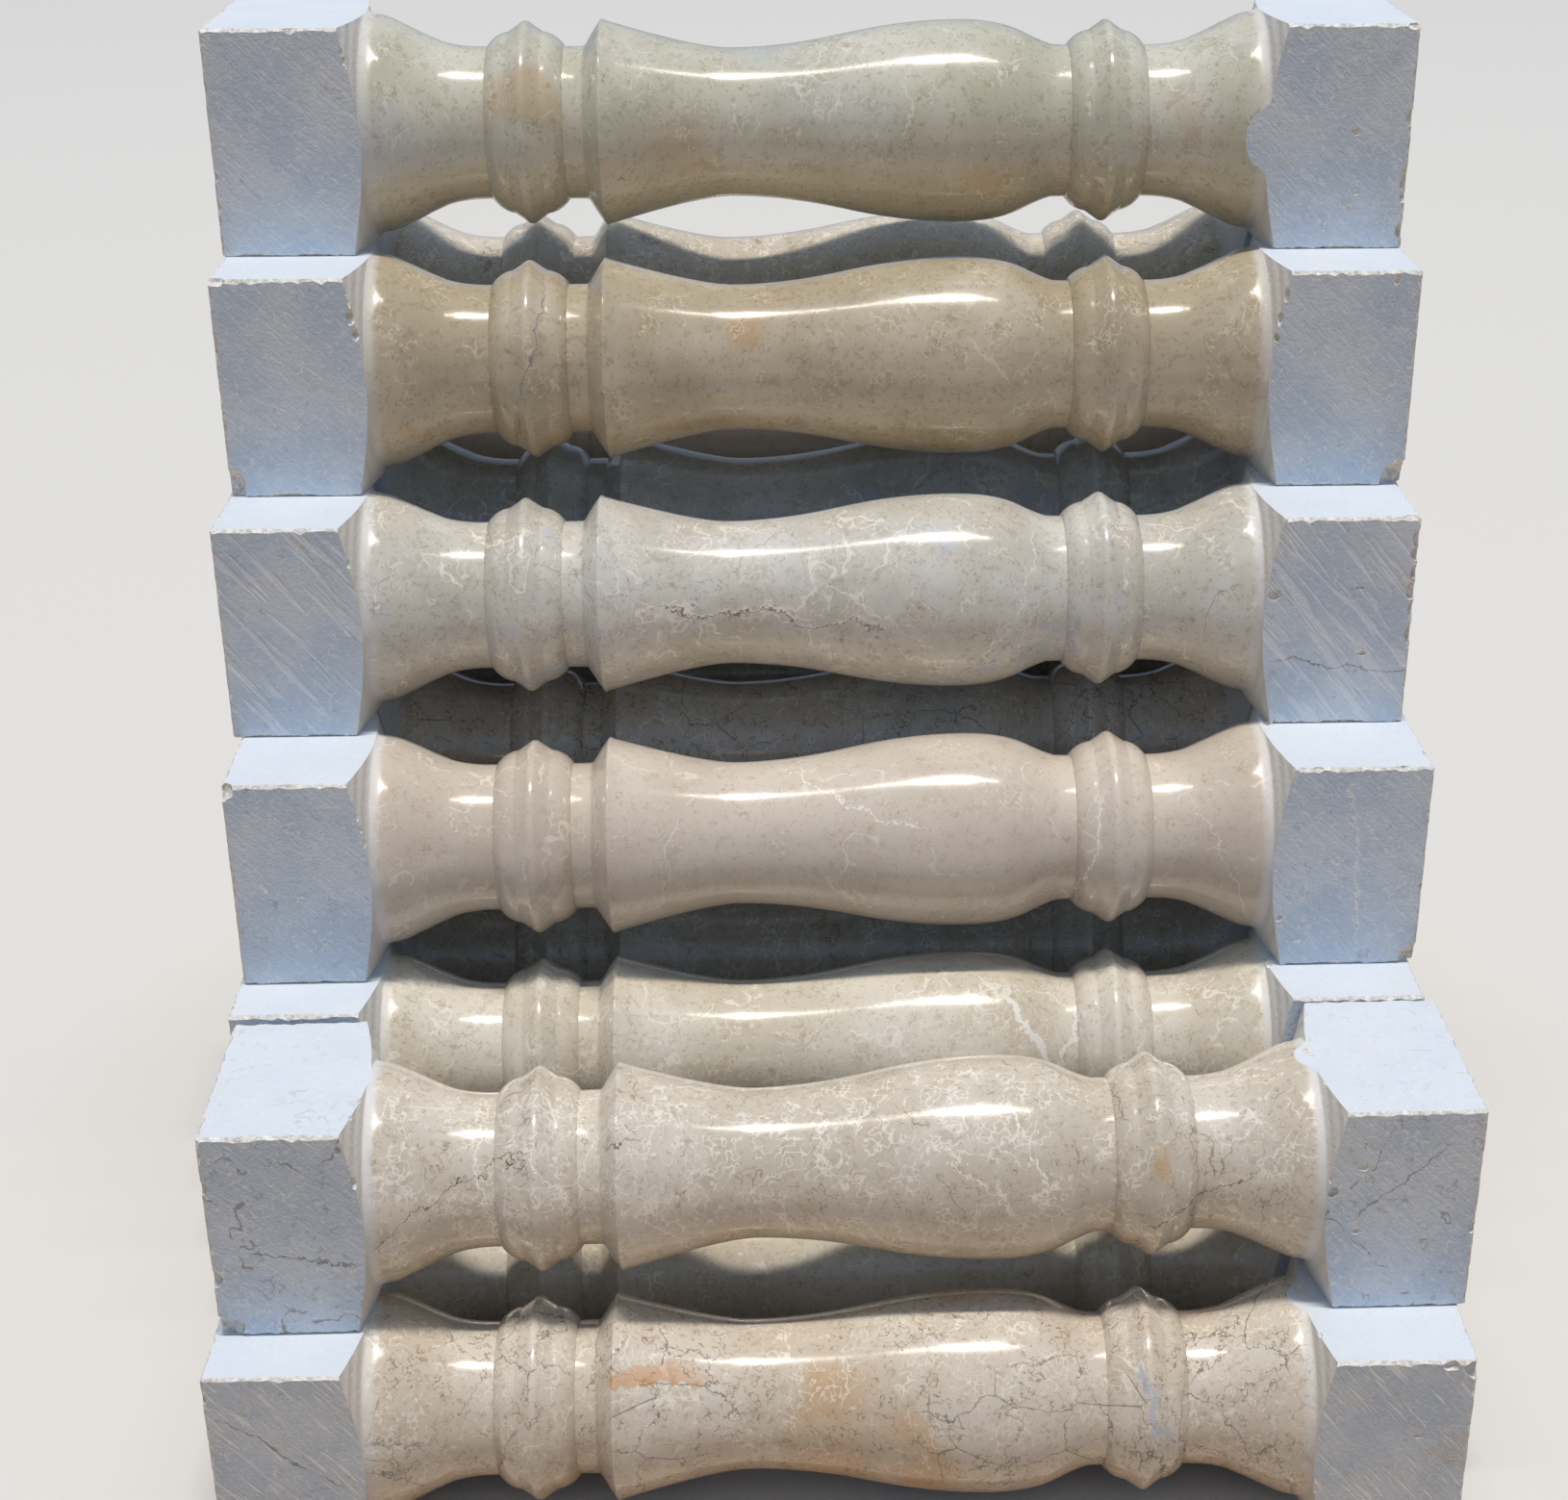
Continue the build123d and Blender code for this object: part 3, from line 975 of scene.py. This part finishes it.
stack = {
    "counts": [1, 2, 3, 4, 6, 7], "seed": 7,
    "turns": {"course_4_baluster_1": 0.3, "course_5_baluster_1": 0.4, "course_6_baluster_1": -0.7},
    "stones": {
        "course_1_baluster_1": ("greenish", "smooth"),
        "course_2_baluster_1": ("tan", "smooth"),
        "course_3_baluster_1": ("pale", "scored"),
        "course_4_baluster_1": ("plain", "hairline"),
        "course_5_baluster_1": ("veined", "pitted"),
        "course_5_baluster_2": ("creamy", "smooth"),
        "course_6_baluster_1": ("yellow", "lined"),
    },
    # larger chips: place in mm from the top end and from the axis, and size, both along X, Y and Z
    "notches": {
        "course_1_baluster_1": [
            ((0, -65, -18), (2.5, 3, 3.5)), ((709, -65, 12), (4, 4, 6)), ((709, -65, -24), (5, 4, 8)),
            ((709, -65, -34), (4, 4, 5)), ((709, -65, -54), (5, 5, 6)), ((706, -65, 64), (4, 3, 2.5)),
            ((52, -66, 65), (5, 3, 2)), ((676, -67, 4), (4, 3.2, 3)), ((679, -67, -32), (3.5, 3, 3)),
        ],
        "course_2_baluster_1": [
            ((1, -65, -60), (9, 6, 13)), ((3, -64, 65), (7, 4, 4)), ((711, -67, -67), (17, 13, 19)),
            ((81, -65, 43), (3.5, 3, 5)), ((83, -65, 33), (3, 3, 4)), ((50, -66, 66), (5, 3, 3)),
            ((629, -65, 52), (2.5, 3, 5)), ((626, -65, 38), (2.5, 3, 5)), ((625, -65, 26), (2.5, 3, 3)),
            ((694, -66, 60), (2.5, 2.5, 4)),
        ],
        "course_3_baluster_1": [
            ((4, 62, 66), (11, 9, 4)), ((80, -65, 44), (3, 3, 4)), ((84, -65, 30), (3, 3, 4)),
            ((709, -65, 52), (5, 4, 6)), ((710, -65, 42), (6, 5, 5)), ((709, -65, 31), (4, 4, 5)),
            ((709, -65, 20), (5.5, 4, 6)), ((709, -65, 8), (4, 4, 5)), ((709, -65, -8), (4.5, 4, 7)),
            ((702, -65, 65), (5, 4, 2.5)), ((676, -67, 22), (3.5, 3.5, 2.5)),
            ((681, -67, -20), (4, 3.5, 2.5)), ((625, -66, 18), (5, 4, 4)),
        ],
        "course_4_baluster_1": [
            ((1, -65, 62), (6, 6, 7)), ((709, -66, -62), (10, 8, 11)), ((79, -65, 44), (3, 3, 4)),
            ((81, -65, 36), (4, 4, 4)), ((83, -65, 27), (4, 4, 5)), ((86, -65, -38), (2.5, 3, 5)),
            ((85, -65, -50), (3, 3, 4)), ((690, -65, 65), (5, 3, 2.5)), ((640, -65, 65), (4, 3, 2.5)),
        ],
        "course_5_baluster_1": [
            ((1, -65, -61), (13, 7, 10)), ((0, -65, 33), (4, 4, 5)), ((0, -65, -26), (6, 5, 6)),
            ((84, -65, 35), (3, 3, 4)), ((708, -65, -12), (3, 3, 4)), ((626, -65, 14), (3, 3, 3.5)),
            ((642, -67, 30), (4, 3.5, 3)), ((641, -67, -12), (4, 3.5, 3)),
        ],
        "course_6_baluster_1": [
            ((708, -65, 59), (6, 6, 6)), ((694, -65, 62), (5, 4, 3)), ((20, -66, 66), (6, 3, 2.5)),
            ((680, -67, 14), (5, 3.5, 2.2)), ((0, -65, 52), (2.5, 3, 5)),
        ],
    },
    # how far the lathe work lies off the blank's middle, in mm: along X, then Y and Z at each end
    "offCentre": {
        "course_1_baluster_1": (1.5, 0.2, 0.3, -4.6, 0.0),
        "course_2_baluster_1": (0.0, 0.0, 0.2, 0.2, 0.0),
        "course_3_baluster_1": (-3.5, 0.1, 0.2, 0.3, 0.4),
        "course_4_baluster_1": (-5.0, 0.0, 0.0, 0.2, 0.2),
        "course_5_baluster_1": (0.0, 0.2, 0.9, 0.2, 3.0),
        "course_5_baluster_2": (-1.5, 0.2, 0.2, 0.2, 1.2),
        "course_6_baluster_1": (-1.0, 0.2, 1.2, 0.2, 2.8),
    },
    "offCentreElsewhere": 0.5,
}


def offCentreMatrix(offsets, length):
    along, topY, topZ, footY, footZ = (value * mm for value in offsets)
    middleShift = Vector((along, (topY + footY) / 2, (topZ + footZ) / 2))
    lean = Matrix.Rotation((footY - topY) / length, 4, "Z") @ Matrix.Rotation((topZ - footZ) / length, 4, "Y")
    centre = Vector((length / 2, 0, 0))
    return Matrix.Translation(centre + middleShift) @ lean @ Matrix.Translation(-centre)


def rimFade(along, size):
    # 1 on the unpolished rim, falling to 0 some way down the bell
    dullTo, polishedFrom = size["rimDull"]
    reach = min(along, size["length"] - along) - size["block"] - size["shoulder"]
    return max(0.0, min(1.0, (polishedFrom - reach) / (polishedFrom - dullTo)))


chance = random.Random(stack["seed"])
elsewhere = stack["offCentreElsewhere"]
middle = turning["length"] / 2 * mm
for course, count in enumerate(stack["counts"], start=1):
    for place in range(1, count + 1):
        name = f"course_{course}_baluster_{place}"
        polishKind, sawKind = stack["stones"].get(
            name, (chance.choice(sorted(palettes)), chance.choice(sorted(sawn))),
        )
        anyOffsets = [chance.uniform(-elsewhere, elsewhere) for _ in range(5)]
        offsets = stack["offCentre"].get(name, anyOffsets)
        piece = copyOf(chance.choice(wornBlanks), "stone_" + name)
        placeMesh(piece, Matrix.Rotation(chance.randrange(4) * math.pi / 2, 4, "X"))
        for number, (spot, radii) in enumerate(stack["notches"].get(name, [])):
            notch = makeBite(course * 50 + number)
            cutAway(piece, notch, Matrix.Translation(Vector(spot) * mm) @ Matrix.Diagonal((*radii, 1)))
        lathe = copyOf(turned, "lathe")
        placeMesh(lathe, offCentreMatrix(offsets, turning["length"] * mm))
        cutWith(piece, lathe, "INTERSECT")
        dropObject(lathe)
        fade = piece.data.attributes.new("rimFade", "FLOAT", "POINT")
        along = [vert.co.x / mm - offsets[0] for vert in piece.data.vertices]
        fade.data.foreach_set("value", [rimFade(reach, turning) for reach in along])
        low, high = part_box(name)
        turn = Matrix.Rotation(math.radians(stack["turns"].get(name, 0)), 4, "Z")
        placeMesh(piece, Matrix.Translation((low + high) / 2) @ turn @ Matrix.Translation((-middle, 0, 0)))
        dressed = [face.material_index for face in piece.data.polygons]
        dressSlots(piece, [sawn[sawKind], turnedRough, polished[polishKind], broken])
        piece.data.polygons.foreach_set("material_index", dressed)
        onlyActive(piece)
        bpy.ops.object.shade_smooth_by_angle(angle=math.radians(turning["smoothUnder"]))
        for face in piece.data.polygons:
            if face.material_index in (slotOf["sawn"], slotOf["broken"]):
                face.use_smooth = False
        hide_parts(name)
        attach(piece, "root")
    print("stage: course", course, "laid", len(piece.data.polygons))
for tool in [turned, blank, *wornBlanks]:
    dropObject(tool)


# floor, lamps and world

# the camera sees a pale floor, and what the floor throws up onto the stone is warmer
ground = {"size": 80, "seen": "DAD8D4", "bounce": "B8996E", "roughness": 0.9}


def paleFloor():
    bpy.ops.mesh.primitive_plane_add(size=ground["size"], location=(0, 0, 0))
    floor = bpy.context.object
    floor.name = "floor"
    material = bpy.data.materials.new("pale_floor")
    material.use_nodes = True
    tree = material.node_tree
    shader = tree.nodes["Principled BSDF"]
    ray = addNode(tree, "ShaderNodeLightPath")
    direct = addNode(
        tree, "ShaderNodeMath", {0: ray.outputs["Is Camera Ray"], 1: ray.outputs["Is Glossy Ray"]},
        operation="MAXIMUM",
    )
    seen = addNode(
        tree, "ShaderNodeMath", {0: direct.outputs[0], 1: ray.outputs["Is Transmission Ray"]},
        operation="MAXIMUM",
    )
    colour = addNode(
        tree, "ShaderNodeMix",
        {0: seen.outputs[0], 6: linearColour(ground["bounce"]), 7: linearColour(ground["seen"])},
        data_type="RGBA",
    )
    tree.links.new(colour.outputs[2], shader.inputs["Base Color"])
    shader.inputs["Roughness"].default_value = ground["roughness"]
    floor.data.materials.append(material)


# two strip lights along the stack, high over it and a little in front, and a pale blue sky
overStack = {"place": (0.5, -2.6, 30), "tilt": 5, "colour": "FFF6EA"}
lamps = {
    "overhead": {"length": 7.5, "width": 0.8, "power": 6100, **overStack},
    "spread": {"length": 20, "width": 1.0, "power": 2200, **overStack},
}
sky = {"colour": "B6D2F4", "strength": 0.44}


def makeLamp(name, setup):
    bpy.ops.object.light_add(type="AREA", location=setup["place"])
    lamp = bpy.context.object
    lamp.name = "lamp_" + name
    lamp.data.shape = "RECTANGLE"
    lamp.data.size = setup["length"]
    lamp.data.size_y = setup["width"]
    lamp.data.energy = setup["power"]
    lamp.data.color = linearColour(setup["colour"])[:3]
    lamp.rotation_euler = (math.radians(setup["tilt"]), 0, 0)


paleFloor()
for name, setup in lamps.items():
    makeLamp(name, setup)
world = bpy.data.worlds.new("studio")
bpy.context.scene.world = world
world.use_nodes = True
world.node_tree.nodes["Background"].inputs["Color"].default_value = linearColour(sky["colour"])
world.node_tree.nodes["Background"].inputs["Strength"].default_value = sky["strength"]
bpy.context.scene.view_settings.view_transform = "Standard"
